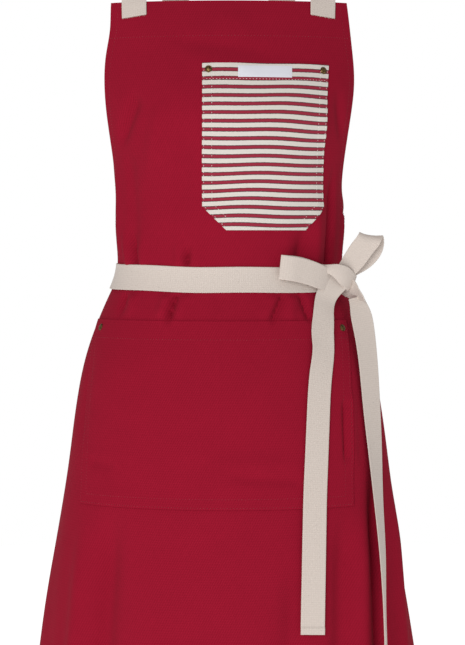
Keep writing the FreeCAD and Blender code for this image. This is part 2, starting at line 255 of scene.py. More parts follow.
def slack(across, drop):
    """How far the folds carry the cloth outwards at a place on it."""
    across, drop = np.broadcast_arrays(np.asarray(across, float), np.asarray(drop, float))
    total = 0.35 * np.sin(across / 23 + 1.3 * np.sin(drop / 61)) * np.sin(drop / 37 + 0.8)
    for (a0, d0), (a1, d1), height, spread, fade0, fade1 in fold_lines:
        length = math.hypot(a1 - a0, d1 - d0)
        ahead, aside = (a1 - a0) / length, (d1 - d0) / length
        along = (across - a0) * ahead + (drop - d0) * aside
        beside = (across - a0) * aside - (drop - d0) * ahead
        strength = ease(along, 0, fade0) * (1 - ease(along, length - fade1, length))
        total = total + height * strength * np.exp(-(beside / spread) ** 2)
    back_flutes = 7.0 * np.sin(across / 24.0 + 0.6) * ease(np.abs(across), 225, 290) * ease(drop, 470, 900)
    held_by_belt = ease(np.abs(drop - 400), 13, 21)
    return (total + back_flutes) * held_by_belt


def on_cloth(across, drop, lift):
    return on_figure(across, drop, np.asarray(lift, float) + slack(across, drop))


bib_top, waist, hem_end = 88, 400, 930
waist_half = 285
half_width_line = smooth_through([(bib_top, 137), (151.5, 150.75), (215, 162), (300, 168), (345, 189),
                                  (380, 238), (waist, waist_half)])


def half_width(drop):
    """From the front centre line to the panel's edge, along the cloth."""
    if drop > waist:
        return waist_half + 45 * (drop - waist) / (hem_end - waist)
    return half_width_line(drop)[0, 0]


def panel_edges(drop):
    """The panel's two edges; the bib hangs a little unevenly, so they aren't quite mirrored."""
    left = -half_width(drop) + 4.0 * math.exp(-((drop - 120) / 26) ** 2)
    right = half_width(drop) + 3.5 * math.exp(-((drop - 180) / 34) ** 2)
    return left, right


def new_piece(name, vertices, faces):
    """A mesh object in the scene, from vertices in metres."""
    mesh = bpy.data.meshes.new(name)
    mesh.from_pydata(vertices, [], faces)
    piece = bpy.data.objects.new(name, mesh)
    scene.collection.objects.link(piece)
    return piece


def only(piece):
    """Selects one piece alone, since an operator acts on all that is selected."""
    bpy.ops.object.select_all(action="DESELECT")
    bpy.context.view_layer.objects.active = piece
    piece.select_set(True)


def faces_outwards(piece):
    only(piece)
    bpy.ops.object.mode_set(mode="EDIT")
    bpy.ops.mesh.select_all(action="SELECT")
    bpy.ops.mesh.normals_make_consistent(inside=False)
    bpy.ops.object.mode_set(mode="OBJECT")


def grid_piece(name, places, flat_places):
    """A sheet of square meshes through rows of points in mm, with a UV map of its flat cut in metres."""
    rows, columns = places.shape[:2]
    index = np.arange(rows * columns).reshape(rows, columns)
    faces = np.stack([index[:-1, :-1], index[1:, :-1], index[1:, 1:], index[:-1, 1:]], -1).reshape(-1, 4)
    piece = new_piece(name, (places.reshape(-1, 3) * mm).tolist(), faces.tolist())
    flat = (flat_places.reshape(-1, 2) * mm)[faces.ravel()]
    piece.data.uv_layers.new(name="cut").data.foreach_set("uv", flat.ravel())
    return piece


def finish_with(piece, kind, **settings):
    """A modifier, applied at once."""
    only(piece)
    modifier = piece.modifiers.new(kind.lower(), kind)
    for name, value in settings.items():
        setattr(modifier, name, value)
    bpy.ops.object.modifier_apply(modifier=modifier.name)


def soften(piece, degrees=45):
    only(piece)
    bpy.ops.object.shade_smooth_by_angle(angle=math.radians(degrees))


def hemmed_sheet(name, drops, edges, lift, hem, turned, single):
    """Cloth on the wearer with turned hems: double where it is turned under, single inside them."""
    side_steps = np.array([0, 0.8, hem[1] - 0.8, hem[1] + 0.4])
    left, right = edges(drops[0])
    count = 172 if right - left > 200 else 44
    rows, flat_rows, weights = [], [], []
    for drop in drops:
        left, right = edges(drop)
        inner = np.linspace(left + hem[1] + 0.4, right - hem[1] - 0.4, count)[1:-1]
        across = np.concatenate([left + side_steps, inner, right - side_steps[::-1]])
        rows.append(on_cloth(across, drop, lift))
        flat_rows.append(np.stack([across, np.full_like(across, -drop)], -1))
        at_side = (across < left + hem[1]) | (across > right - hem[1])
        at_end = drop < drops[0] + hem[0] or drop > drops[-1] - hem[2]
        weights.append(at_side | at_end)
    piece = grid_piece(name, np.array(rows), np.array(flat_rows))
    group = piece.vertex_groups.new(name="turned_hem")
    group.add(np.flatnonzero(np.array(weights).ravel()).tolist(), 1.0, "REPLACE")
    finish_with(piece, "SOLIDIFY", thickness=turned * mm, offset=-1, use_rim=True, vertex_group="turned_hem",
                thickness_vertex_group=single / turned)
    piece.vertex_groups.clear()
    soften(piece)
    return piece


def drops_between(top, bottom, spacing, top_hem, bottom_hem):
    """Rows of a hemmed sheet, with two close rows at each hem's inner edge and at each end."""
    inner = np.arange(top + top_hem + spacing, bottom - bottom_hem - spacing / 2, spacing)
    upper = np.arange(top + spacing, top + top_hem - spacing / 2, spacing)
    lower = np.arange(bottom - bottom_hem + spacing, bottom - spacing / 2, spacing)
    marks = [top, top + 0.8, top + top_hem - 0.8, top + top_hem + 0.4,
             bottom - bottom_hem - 0.4, bottom - bottom_hem + 0.8, bottom - 0.8, bottom]
    return np.array(sorted([*marks, *inner, *upper, *lower]))


# Cotton twill: fine steep diagonal ribs from the weave, matt with a trace of sheen. The ribs are
# 0.6 mm apart on real cloth and are drawn 2.4 mm apart, as coarse as they need to be to show.
wave = 0.314159     # metres from band to band of a wave texture whose scale is 1
twill, tree, shader = new_material("cotton_twill_red",
                                   {"Roughness": 0.92, "Specular IOR Level": 0.04, "Sheen Weight": 0.01})
cut = add(tree, "UVMap", uv_map="cut").outputs["UV"]
steep = add(tree, "Mapping", {"Vector": cut, "Rotation": (0, 0, math.radians(27))}).outputs["Vector"]
ribs = add(tree, "TexWave", {"Vector": steep, "Scale": wave / 0.0024, "Distortion": 1.2, "Detail": 2.0,
                             "Detail Scale": 2.0})
weft = add(tree, "TexWave", {"Vector": cut, "Scale": wave / 0.0028, "Distortion": 1.0},
           bands_direction="Y")
drawn_out = add(tree, "Mapping", {"Vector": cut, "Scale": (1, 0.12, 1)}).outputs[0]
slubs = add(tree, "TexNoise", {"Vector": drawn_out, "Scale": 900.0, "Detail": 3.0})
mottle = add(tree, "TexNoise", {"Vector": cut, "Scale": 24.0, "Detail": 4.0, "Roughness": 0.6})
thread = add(tree, "Mix", {"Factor": 0.3, "A": ribs.outputs["Fac"], "B": weft.outputs["Fac"]}).outputs[0]
thread = add(tree, "Mix", {"Factor": 0.4, "A": thread, "B": slubs.outputs["Fac"]}).outputs[0]
dye = add(tree, "ValToRGB", {"Fac": thread})
dye.color_ramp.elements[0].color = linear("#7F0F23")
dye.color_ramp.elements[1].color = linear("#99172F")
uneven = add(tree, "MapRange", {"Value": mottle.outputs["Fac"], "To Min": 0.93, "To Max": 1.06}).outputs[0]
shade = add(tree, "VectorMath", {0: dye.outputs["Color"], "Scale": uneven}, operation="SCALE").outputs[0]
tree.links.new(shade, shader.inputs["Base Color"])
relief = add(tree, "Bump", {"Height": thread, "Strength": 0.35, "Distance": 0.0004})
tree.links.new(relief.outputs["Normal"], shader.inputs["Normal"])

panel_face, turned_thick, single_thick = 1.5, 1.4, 0.75
bib_hem, side_hem, skirt_hem = 42.0, 11.0, 25.0
panel_drops = drops_between(bib_top, hem_end, 4.0, bib_hem, skirt_hem)
# Rows lie closer where the belt gathers the cloth.
panel_drops = np.array(sorted({*panel_drops, *np.arange(340.0, 452.0, 2.2)}))
panel_drops = panel_drops[np.concatenate([[True], np.diff(panel_drops) > 0.35])]
panel = hemmed_sheet("apron_cloth", panel_drops, panel_edges, panel_face, (bib_hem, side_hem, skirt_hem),
                     turned_thick, single_thick)
panel.data.materials.append(twill)
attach(panel, "apron")
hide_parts("apron_panel")
widths = np.array([2 * half_width(drop) for drop in panel_drops]) * mm
cut_area = float(np.sum((widths[1:] + widths[:-1]) / 2 * np.diff(panel_drops) * mm))

# ---------------------------------------------------------------- seams of the panel
# Lock stitching in red cotton thread, one row along the inner edge of each turned hem.
# Each stitch is a short plump length of thread that dips into the cloth at both ends.

stitch_faces = ((0, 2, 4), (0, 4, 3), (0, 3, 5), (0, 5, 2), (1, 4, 2), (1, 3, 4), (1, 5, 3), (1, 2, 5))


def stitched(name, place, rows, lift, yarn, length=2.6, pitch=3.6, thread=0.55):
    """Stitches along rows of corner points on a surface given by place(first, second, lift)."""
    vertices, faces = [], []
    for row in rows:
        row = np.array(row, float)
        marks = np.concatenate([[0], np.cumsum(np.linalg.norm(np.diff(row, axis=0), axis=1))])
        count = max(1, int(marks[-1] / pitch))
        centres = (np.arange(count) + 0.5) * marks[-1] / count

        def spot(at, height):
            return place(np.interp(at, marks, row[:, 0]), np.interp(at, marks, row[:, 1]), height)
        back, front = spot(centres - length / 2, lift - 0.25), spot(centres + length / 2, lift - 0.25)
        middle = spot(centres, lift)
        outward = spot(centres, lift + 1) - middle
        outward /= np.linalg.norm(outward, axis=1, keepdims=True)
        side = np.cross(front - back, outward)
        side *= thread / 2 / np.linalg.norm(side, axis=1, keepdims=True)
        corners = np.stack([back, front, middle - side, middle + side, middle + outward * thread * 0.6,
                            middle - outward * 0.3], 1)
        for at, stitch in enumerate(corners):
            first = len(vertices)
            vertices.extend((stitch * mm).tolist())
            faces.extend((first + a, first + b, first + c) for a, b, c in stitch_faces)
    piece = new_piece(name, vertices, faces)
    faces_outwards(piece)
    bpy.ops.object.shade_smooth()
    piece.data.materials.append(yarn)
    return piece


def thread_material(name, dark, light):
    """Twisted cotton thread: tiny slanted plies, drawn by a fine wave across it."""
    material, tree, shader = new_material(name, {"Roughness": 0.7, "Sheen Weight": 0.15})
    place = add(tree, "TexCoord").outputs["Object"]
    plies = add(tree, "TexWave", {"Vector": place, "Scale": wave / 0.0008, "Distortion": 2.0},
                bands_direction="DIAGONAL")
    tone = add(tree, "ValToRGB", {"Fac": plies.outputs["Fac"]})
    tone.color_ramp.elements[0].color = linear(dark)
    tone.color_ramp.elements[1].color = linear(light)
    tree.links.new(tone.outputs["Color"], shader.inputs["Base Color"])
    return material


red_thread = thread_material("cotton_thread_red", "#75101F", "#9A2438")
seam_in = 1.5
edge_drops = np.concatenate([np.arange(bib_top + 4, hem_end - 4, 6.0), [hem_end - 4]])


def side_row(side, inset):
    return [(panel_edges(drop)[side] + inset * (1, -1)[side], drop) for drop in edge_drops]


def hem_row(drop, reach, count):
    return [(across, drop) for across in np.linspace(3 - reach, reach - 3, count)]


panel_rows = [side_row(0, side_hem - seam_in), side_row(1, side_hem - seam_in),
              hem_row(bib_top + bib_hem - seam_in, half_width(126), 60),
              hem_row(hem_end - skirt_hem + seam_in, half_width(906), 110)]
panel_seams = stitched("panel_seams", on_cloth, panel_rows, panel_face, red_thread)
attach(panel_seams, "apron")

# ---------------------------------------------------------------- hip pocket
# One wide patch of the same twill, hemmed at the top and stitched on with a row at the sides and
# bottom and a second row inside it. A rivet holds each of its two top corners.

pocket_face = 3.1
hip_left, hip_right = -186, 147
hip_top, hip_bottom = 445, 652
hip_hem, hip_turned = 22.0, 11.0
hip_drops = drops_between(hip_top, hip_bottom, 4.0, hip_hem, hip_turned)
hip_pocket = hemmed_sheet("hip_pocket_cloth", hip_drops, lambda drop: (hip_left, hip_right), pocket_face,
                          (hip_hem, hip_turned, hip_turned), turned_thick, 0.85)
hip_pocket.data.materials.append(twill)
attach(hip_pocket, "apron")
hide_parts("hip_pocket")


def level_row(left, right, drop):
    return [(a, drop) for a in np.linspace(left, right, max(2, int((right - left) / 6)))]


def upright_row(across, top, bottom):
    return [(across, d) for d in np.linspace(top, bottom, max(2, int((bottom - top) / 6)))]


outer_row, inner_row = 2.2, 11.6
hip_rows = [level_row(hip_left + 2, hip_right - 2, hip_top + hip_hem - seam_in),
            level_row(hip_left + 2, hip_right - 2, hip_bottom - outer_row),
            level_row(hip_left + inner_row, hip_right - inner_row, hip_bottom - inner_row)]
for inset, foot in ((outer_row, hip_bottom - 3), (inner_row, hip_bottom - 12)):
    hip_rows += [upright_row(across, hip_top + 3, foot) for across in (hip_left + inset, hip_right - inset)]
hip_seams = stitched("hip_pocket_seams", on_cloth, hip_rows, pocket_face, red_thread)
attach(hip_seams, "apron")

# ---------------------------------------------------------------- chest pocket
# A patch of cream ticking with woven red stripes, each with a fine dark line along both edges.
# Its lower corners are clipped, and it is sewn on with two rows of white thread.

chest_middle, chest_half, chest_clip = 43.5, 72.0, 26.0
chest_top, chest_bottom = 159.5, 344


def chest_edges(drop):
    inset = max(0.0, drop - (chest_bottom - chest_clip))
    return chest_middle - chest_half + inset, chest_middle + chest_half - inset


chest_hem, chest_turned = 18.0, 9.0
chest_drops = drops_between(chest_top, chest_bottom, 3.5, chest_hem, chest_turned)
chest_pocket = hemmed_sheet("chest_pocket_cloth", chest_drops, chest_edges, pocket_face,
                            (chest_hem, chest_turned, chest_turned), turned_thick, 0.9)
# The stripes waver a little, as the weave was pulled when the pocket was pressed and sewn.
cut_map = chest_pocket.data.uv_layers["cut"].data
flat = np.empty(len(cut_map) * 2)
cut_map.foreach_get("uv", flat)
flat = flat.reshape(-1, 2)
across, down = flat[:, 0] / mm - chest_middle, -flat[:, 1] / mm
flat[:, 1] -= (0.55 * np.cos(across / 34 + 0.4) + 0.5 * np.sin(across / 15 + down / 33)
               + 0.4 * np.sin(down / 15 + across / 37)) * mm
cut_map.foreach_set("uv", flat.ravel())

# Ticking: a close plain weave with the stripe in the yarn, so its edge steps from thread to thread.
ticking, tree, shader = new_material("cotton_ticking",
                                     {"Roughness": 0.88, "Specular IOR Level": 0.25, "Sheen Weight": 0.1})
cut = add(tree, "UVMap", uv_map="cut").outputs["UV"]
stripe_pitch, first_stripe = 0.0095, -0.1672
ragged = add(tree, "TexNoise", {"Vector": cut, "Scale": 420.0, "Detail": 1.0}).outputs["Fac"]
down = add(tree, "SeparateXYZ", {"Vector": cut}).outputs["Y"]
down = add(tree, "Math", {0: down, 1: -first_stripe + stripe_pitch / 2}, operation="ADD").outputs[0]
down = add(tree, "Math", {0: ragged, 1: 0.0005, 2: down}, operation="MULTIPLY_ADD").outputs[0]
phase = add(tree, "Math", {0: down, 1: 1 / stripe_pitch}, operation="MULTIPLY").outputs[0]
phase = add(tree, "Math", {0: phase}, operation="FRACT").outputs[0]
stripe = add(tree, "ValToRGB", {"Fac": phase})
cream, edge_line, red = "#D8D1C9", "#4C3437", "#96253A"
stops = [(0.0, cream), (0.25, cream), (0.27, edge_line), (0.325, edge_line), (0.355, red),
         (0.645, red), (0.675, edge_line), (0.73, edge_line), (0.75, cream)]
stripe.color_ramp.elements[0].color = linear(stops[0][1])
stripe.color_ramp.elements[1].position = stops[-1][0]
stripe.color_ramp.elements[1].color = linear(stops[-1][1])
for position, code in stops[1:-1]:
    stripe.color_ramp.elements.new(position).color = linear(code)
warp = add(tree, "TexWave", {"Vector": cut, "Scale": wave / 0.0014, "Distortion": 1.0})
weft = add(tree, "TexWave", {"Vector": cut, "Scale": wave / 0.0014, "Distortion": 1.0},
           bands_direction="Y")
thread = add(tree, "Math", {0: warp.outputs["Fac"], 1: weft.outputs["Fac"]}, operation="MULTIPLY").outputs[0]
light = add(tree, "MapRange", {"Value": thread, "To Min": 0.9, "To Max": 1.08}).outputs[0]
woven = add(tree, "VectorMath", {0: stripe.outputs["Color"], "Scale": light}, operation="SCALE").outputs[0]
tree.links.new(woven, shader.inputs["Base Color"])
relief = add(tree, "Bump", {"Height": thread, "Strength": 0.3, "Distance": 0.0003})
tree.links.new(relief.outputs["Normal"], shader.inputs["Normal"])
chest_pocket.data.materials.append(ticking)
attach(chest_pocket, "apron")
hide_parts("chest_pocket")


def chest_outline(inset):
    """Down one side, round the clipped corners and up the other, inset from the pocket's edge."""
    low, turn = chest_bottom - inset, chest_bottom - chest_clip - inset * 0.4
    left, right = chest_middle - chest_half + inset, chest_middle + chest_half - inset
    corner = chest_clip - inset * 0.6
    return [(left, chest_top + 3), (left, turn), (left + corner, low), (right - corner, low), (right, turn),
            (right, chest_top + 3)]


def dense(corners, spacing=5.0):
    """The same line of corners, with points along its runs so that it follows the surface."""
    corners = np.array(corners, float)
    points = [corners[0]]
    for before, after in zip(corners, corners[1:]):
        steps = max(1, int(np.linalg.norm(after - before) / spacing))
        points.extend(before + (after - before) * k / steps for k in range(1, steps + 1))
    return points


white_thread = thread_material("cotton_thread_white", "#D9D3CB", "#F4F1EC")
chest_left, chest_right = chest_middle - chest_half + 3, chest_middle + chest_half - 3
chest_rows = [dense(chest_outline(1.8)), dense(chest_outline(10.5)),
              dense([(chest_left, chest_top + chest_hem), (chest_right, chest_top + chest_hem)])]
chest_seams = stitched("chest_pocket_seams", on_cloth, chest_rows, pocket_face, white_thread, thread=0.7)
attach(chest_seams, "apron")

# ---------------------------------------------------------------- label
# A small blank satin-weave tape, sewn down at its two short ends over the pocket's first stripe.

label_drops = np.concatenate([[162.5, 163.0], np.linspace(164.0, 174.0, 8), [175.0, 175.5]])
label_across = np.concatenate([[10.5, 11.0], np.linspace(13, 68, 24), [70.0, 70.5]])
grid_across, grid_drop = np.meshgrid(label_across, label_drops)
across_share, drop_share = np.abs((grid_across - 40.5) / 30), np.abs((grid_drop - 169.0) / 6.5)
crown = 0.45 * (1 - drop_share ** 4) * (1 - across_share ** 12)
label = grid_piece("chest_label_tape", on_cloth(grid_across, grid_drop, 3.3 + crown),
                   np.stack([grid_across, -grid_drop], -1))
finish_with(label, "SOLIDIFY", thickness=0.35 * mm, offset=-1, use_rim=True)
soften(label)
satin, tree, shader = new_material("satin_tape_white", {"Roughness": 0.42})
cut = add(tree, "UVMap", uv_map="cut").outputs["UV"]
floats = add(tree, "TexWave", {"Vector": cut, "Scale": wave / 0.0009, "Distortion": 0.6},
             bands_direction="Y")
tone = add(tree, "ValToRGB", {"Fac": floats.outputs["Fac"]})
tone.color_ramp.elements[0].color = linear("#D2D2DB")
tone.color_ramp.elements[1].color = linear("#DEDEE6")
tree.links.new(tone.outputs["Color"], shader.inputs["Base Color"])
relief = add(tree, "Bump", {"Height": floats.outputs["Fac"], "Strength": 0.15, "Distance": 0.0002})
tree.links.new(relief.outputs["Normal"], shader.inputs["Normal"])
label.data.materials.append(satin)
label_rows = [dense([(across, 163.1), (across, 174.9)], 2.0) for across in (12.3, 68.7)]
label_seams = stitched("chest_label_seams", on_cloth, label_rows, 3.7, white_thread, length=1.2, pitch=1.7,
                       thread=0.4)
for piece in (label, label_seams):
    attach(piece, "apron")
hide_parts("chest_label")

# ---------------------------------------------------------------- rivets
# Four pressed brass rivets with an antique finish, one at each pocket's top corners. The cap is a
# low dome rolled over at its rim; the post and its back disc are on the inside of the cloth.

rings = [(3.95, 0.0), (4.1, 0.25), (4.0, 0.55), (3.75, 0.72), (3.5, 0.68), (3.3, 0.8), (2.9, 1.15),
         (2.3, 1.45), (1.5, 1.65), (0.7, 1.74)]
bpy.ops.object.select_all(action="DESELECT")
bpy.ops.mesh.primitive_circle_add(vertices=32, radius=rings[0][0] * mm, fill_type="NGON")
cap_model = bpy.context.object
bpy.ops.object.mode_set(mode="EDIT")
bpy.ops.mesh.select_all(action="SELECT")
for (before, low), (after, high) in zip(rings, rings[1:]):
    bpy.ops.mesh.extrude_region_move(TRANSFORM_OT_translate={"value": (0, 0, (high - low) * mm)})
    bpy.ops.transform.resize(value=(after / before, after / before, 1))
bpy.ops.mesh.poke(offset=0.02 * mm)
bpy.ops.mesh.select_all(action="SELECT")
bpy.ops.mesh.normals_make_consistent(inside=False)
bpy.ops.object.mode_set(mode="OBJECT")

# Brass, pressed and darkened in a bath, then rubbed brighter at its crown than at its rim.
# Here its tone is drawn only as dark and brighter patches at random.
brass, tree, shader = new_material("antique_brass", {"Metallic": 1.0})
place = add(tree, "TexCoord").outputs["Object"]
tarnish = add(tree, "TexNoise", {"Vector": place, "Scale": 700.0, "Detail": 4.0})
tone = add(tree, "ValToRGB", {"Fac": tarnish.outputs["Fac"]})
tone.color_ramp.elements[0].position = 0.35
tone.color_ramp.elements[0].color = linear("#3A2C1C")
tone.color_ramp.elements[1].position = 0.7
tone.color_ramp.elements[1].color = linear("#8E7448")
tree.links.new(tone.outputs["Color"], shader.inputs["Base Color"])
rough = add(tree, "MapRange", {"Value": tarnish.outputs["Fac"], "To Min": 0.3, "To Max": 0.55})
tree.links.new(rough.outputs[0], shader.inputs["Roughness"])
relief = add(tree, "Bump", {"Height": tarnish.outputs["Fac"], "Strength": 0.15, "Distance": 0.0002})
tree.links.new(relief.outputs["Normal"], shader.inputs["Normal"])
cap_model.data.materials.append(brass)

for node, spots in (("chest_rivet_caps", ((-21.5, 166.5), (108.5, 166.5))),
                    ("hip_rivet_caps", ((-166.5, 454.0), (138.5, 454.0)))):
    for end, (across, drop) in zip(("left", "right"), spots):
        seat = on_cloth(across, drop, pocket_face)
        sideways = on_cloth(across + 2, drop, pocket_face) - on_cloth(across - 2, drop, pocket_face)
        upwards = on_cloth(across, drop - 2, pocket_face) - on_cloth(across, drop + 2, pocket_face)
        outward = Vector(np.cross(sideways, upwards)).normalized()
        cap = cap_model.copy()
        cap.data = cap_model.data.copy()
        cap.name = node[:-1] + "_" + end
        turned = Vector((0, 0, 1)).rotation_difference(outward).to_matrix().to_4x4()
        cap.data.transform(Matrix.Translation(Vector(seat) * mm) @ turned)
        scene.collection.objects.link(cap)
        soften(cap, 35)
        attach(cap, "apron")
        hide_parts(node)
bpy.data.objects.remove(cap_model)
for node in ("chest_rivet_posts", "hip_rivet_posts"):
    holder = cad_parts[node]
    holder.data.materials.clear()
    holder.data.materials.append(brass)

# ---------------------------------------------------------------- shoulder straps
# Two lengths of 30 mm undyed cotton webbing with woven edges. Each is sewn to the front of the bib
# with a boxed cross, goes over the shoulder and crosses the other on its way down the back.


def along_route(places, facings):
    """Placing rule for webbing, and its length: s mm along a smooth route, w mm aside, lifted off it."""
    places = np.array(places, float)
    marks = np.concatenate([[0], np.cumsum(np.linalg.norm(np.diff(places, axis=0), axis=1))])
    line = smooth_through(np.column_stack([marks, places]))
    facing = smooth_through(np.column_stack([marks, facings]))

    def place(s, w, lift):
        s, w, lift = np.broadcast_arrays(np.asarray(s, float), np.asarray(w, float), np.asarray(lift, float))
        shape = s.shape + (3,)
        at = s.ravel()
        ahead = line(at + 0.5) - line(at - 0.5)
        ahead /= np.linalg.norm(ahead, axis=1, keepdims=True)
        side = np.cross(ahead, facing(at))
        side /= np.linalg.norm(side, axis=1, keepdims=True)
        normal = np.cross(side, ahead)
        return (line(at) + side * w.reshape(-1, 1) + normal * lift.reshape(-1, 1)).reshape(shape)
    return place, marks[-1]


def webbing_piece(name, length, place, width=30.0, gather=lambda s: 1.0 + 0 * s, cup=lambda s: 0 * s,
                  thick=lambda s: 1.3 + 0 * s):
    """Woven tape: a closed strip with thicker selvedges whose edges are notched by the turning weft."""
    stations = np.linspace(0, length, max(8, int(length)) + 1)[:, None]
    share = np.array([-1, -0.985, -0.93, -0.85, -0.5, 0, 0.5, 0.85, 0.93, 0.985, 1])
    upper = np.array([0.5, 0.85, 1.06, 0.98, 1, 1, 1, 0.98, 1.06, 0.85, 0.5])
    around = np.concatenate([share, share[-2:0:-1]])[None]
    height = np.concatenate([upper, (1 - upper)[-2:0:-1]])[None]
    notch = np.where(np.arange(len(stations)) % 2, 0.0, 0.28)[:, None] * (np.abs(around) > 0.95)
    aside = around * width / 2 * gather(stations) - np.sign(around) * notch
    lift = height * thick(stations) - cup(stations) * np.abs(around) ** 2
    places = place(np.broadcast_to(stations, aside.shape), aside, lift)
    rows, columns = aside.shape
    index = np.arange(rows * columns).reshape(rows, columns)
    ahead = np.roll(index, -1, axis=1)
    faces = np.stack([index[:-1], ahead[:-1], ahead[1:], index[1:]], -1).reshape(-1, 4).tolist()
    faces += [index[0, ::-1].tolist(), index[-1].tolist()]
    piece = new_piece(name, (places.reshape(-1, 3) * mm).tolist(), faces)
    flat = np.stack([around * width / 2 + 0 * stations, stations + 0 * around], -1).reshape(-1, 2) * mm
    corners = np.concatenate([np.array(face) for face in faces])
    piece.data.uv_layers.new(name="cut").data.foreach_set("uv", flat[corners].ravel())
    soften(piece, 50)
    piece.data.materials.append(webbing)
    return piece


# Cotton webbing: round weft ribs across it, fine warp along it and flecks of seed in undyed yarn.
# The ribs are 0.9 mm apart on real webbing and are drawn 2.4 mm apart so that they show.
webbing, tree, shader = new_material("cotton_webbing_undyed",
                                     {"Roughness": 0.9, "Specular IOR Level": 0.25, "Sheen Weight": 0.15})
cut = add(tree, "UVMap", uv_map="cut").outputs["UV"]
ribs = add(tree, "TexWave", {"Vector": cut, "Scale": wave / 0.0024, "Distortion": 2.4, "Detail": 2.0,
                             "Detail Scale": 3.0},
           bands_direction="Y")
warp = add(tree, "TexWave", {"Vector": cut, "Scale": wave / 0.0021, "Distortion": 2.2})
fibre = add(tree, "TexNoise", {"Vector": cut, "Scale": 520.0, "Detail": 3.0})
thread = add(tree, "Math", {0: ribs.outputs["Fac"], 1: warp.outputs["Fac"]}, operation="MULTIPLY").outputs[0]
thread = add(tree, "Mix", {"Factor": 0.6, "A": thread, "B": fibre.outputs["Fac"]}).outputs[0]
tone = add(tree, "ValToRGB", {"Fac": thread})
tone.color_ramp.elements[0].position = 0.1
tone.color_ramp.elements[0].color = linear("#C4B8AF")
tone.color_ramp.elements[1].position = 0.9
tone.color_ramp.elements[1].color = linear("#D8CCC3")
flecks = add(tree, "TexNoise", {"Vector": cut, "Scale": 260.0, "Detail": 1.0})
specks = add(tree, "MapRange", {"Value": flecks.outputs["Fac"], "From Min": 0.7, "From Max": 0.76,
                                "To Min": 1.0, "To Max": 0.86}).outputs[0]
spun = add(tree, "VectorMath", {0: tone.outputs["Color"], "Scale": specks}, operation="SCALE").outputs[0]
tree.links.new(spun, shader.inputs["Base Color"])
relief = add(tree, "Bump", {"Height": thread, "Strength": 0.45, "Distance": 0.0004})
tree.links.new(relief.outputs["Normal"], shader.inputs["Normal"])


def frayed_end(name, place, at, outwards, seed, width=30.0):
    """Loose yarn ends where webbing is cut across: short thin tapers of uneven length and lean."""
    chance = np.random.default_rng(seed)
    vertices, faces = [], []
    for w in np.arange(-width / 2 + 0.8, width / 2 - 0.4, 0.75):
        reach = outwards * chance.uniform(0.5, 1.9)
        lean, rise = chance.uniform(-0.5, 0.5), chance.uniform(-0.3, 0.5)
        root = place(at - outwards * 0.4, w, 0.65)
        tip = place(at + reach, w + lean, 0.65 + rise)
        across = (place(at, w + 1, 0.65) - root) * 0.26
        upward = (place(at - outwards * 0.4, w, 1.65) - root) * 0.26
        first = len(vertices)
        ring = (root + across, root + upward, root - across, root - upward, tip)
        vertices.extend((corner * mm).tolist() for corner in ring)
        faces.extend([(first, first + 1, first + 4), (first + 1, first + 2, first + 4),
                      (first + 2, first + 3, first + 4), (first + 3, first, first + 4),
                      (first, first + 3, first + 2, first + 1)])
    piece = new_piece(name, vertices, faces)
    faces_outwards(piece)
    piece.data.materials.append(cream_thread)
    return piece


def beside(x, drop, lift):
    """A place on the wearer's back at a given x, and the way it faces."""
    breadth, front, back = figure_line(drop)[0]
    y = back * math.sqrt(1 - (x / breadth) ** 2)
    facing = Vector((x / breadth ** 2, y / back ** 2, 0)).normalized()
    return np.array(Vector((x, y, -drop)) + facing * lift), np.array(facing)


cream_thread = thread_material("cotton_thread_cream", "#BFB3A8", "#DDD3C9")
bib_across, bib_lift = 107, 1.75
shoulder_x = 95
foot_across, foot_drop, foot_under = 20 - waist_half, 422, 3.9
for side, name, crossing in ((-1, "left", 0.0), (1, "right", 3.2)):
    places, facings = [], []
    for drop in (105, 96.5, 88):
        across = side * bib_across
        here = on_figure(across, drop, bib_lift)
        around = on_figure(across + 1, drop, 0) - on_figure(across - 1, drop, 0)
        down = on_figure(across, drop + 1, 0) - on_figure(across, drop - 1, 0)
        places.append(here)
        outward = np.cross(down, around)
        facings.append(outward / np.linalg.norm(outward))
    chest, top_x = places[-1], side * shoulder_x
    for fall, forward, lean in ((0.75, 0.84, 65), (0.48, 0.665, 65), (0.236, 0.51, 62), (0.095, 0.36, 40),
                                (0.025, 0.19, 20)):
        tilt = math.radians(lean)
        places.append(np.array([top_x + (chest[0] - top_x) * fall, chest[1] * forward, chest[2] * fall]))
        facings.append(np.array([0, -math.sin(tilt), math.cos(tilt)]))
    places.append(np.array([top_x, 0.0, 0]))
    facings.append(np.array([0, 0, 1.0]))
    foot = on_figure(side * foot_across, foot_drop, 0)
    lean_in = (foot[0] - top_x) / foot[2]
    for height, behind, lean in ((-2.7, 15.4, 20), (-10.5, 29, 40), (-24, 45, 48), (-42, 62, 52),
                                 (-62, 79, 58)):
        tilt = math.radians(lean)
        places.append(np.array([top_x + lean_in * height, behind, height]))
        facings.append(np.array([0, math.sin(tilt), math.cos(tilt)]))
    for part in (0.2, 0.3, 0.4, 0.5, 0.6, 0.7, 0.8, 0.88, 0.94, 1.0):
        x = top_x + lean_in * foot[2] * part
        over = crossing * math.exp(-((x / 48) ** 4))
        under = foot_under * min(1.0, max(0.0, (part - 0.7) / 0.2))
        here, facing = beside(x, -foot[2] * part, over - under)
        places.append(here)
        facings.append(facing)
    route, length = along_route(places, facings)
    strap = webbing_piece("strap_webbing_" + name, length, route)
    box = [(2.2, -12.3), (16, -12.3), (16, 12.3), (2.2, 12.3), (2.2, -12.3), (16, 12.3)]
    seams = stitched("strap_seams_" + name, route, [dense(box, 3.0), dense([(2.2, 12.3), (16, -12.3)], 3.0)],
                     1.3, cream_thread, length=1.9, pitch=2.5, thread=0.5)
    fray = frayed_end("strap_fray_" + name, route, 0.0, -1.0, 7 + side)
    for piece in (strap, seams, fray):
        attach(piece, "apron")
    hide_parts("shoulder_strap_" + name)

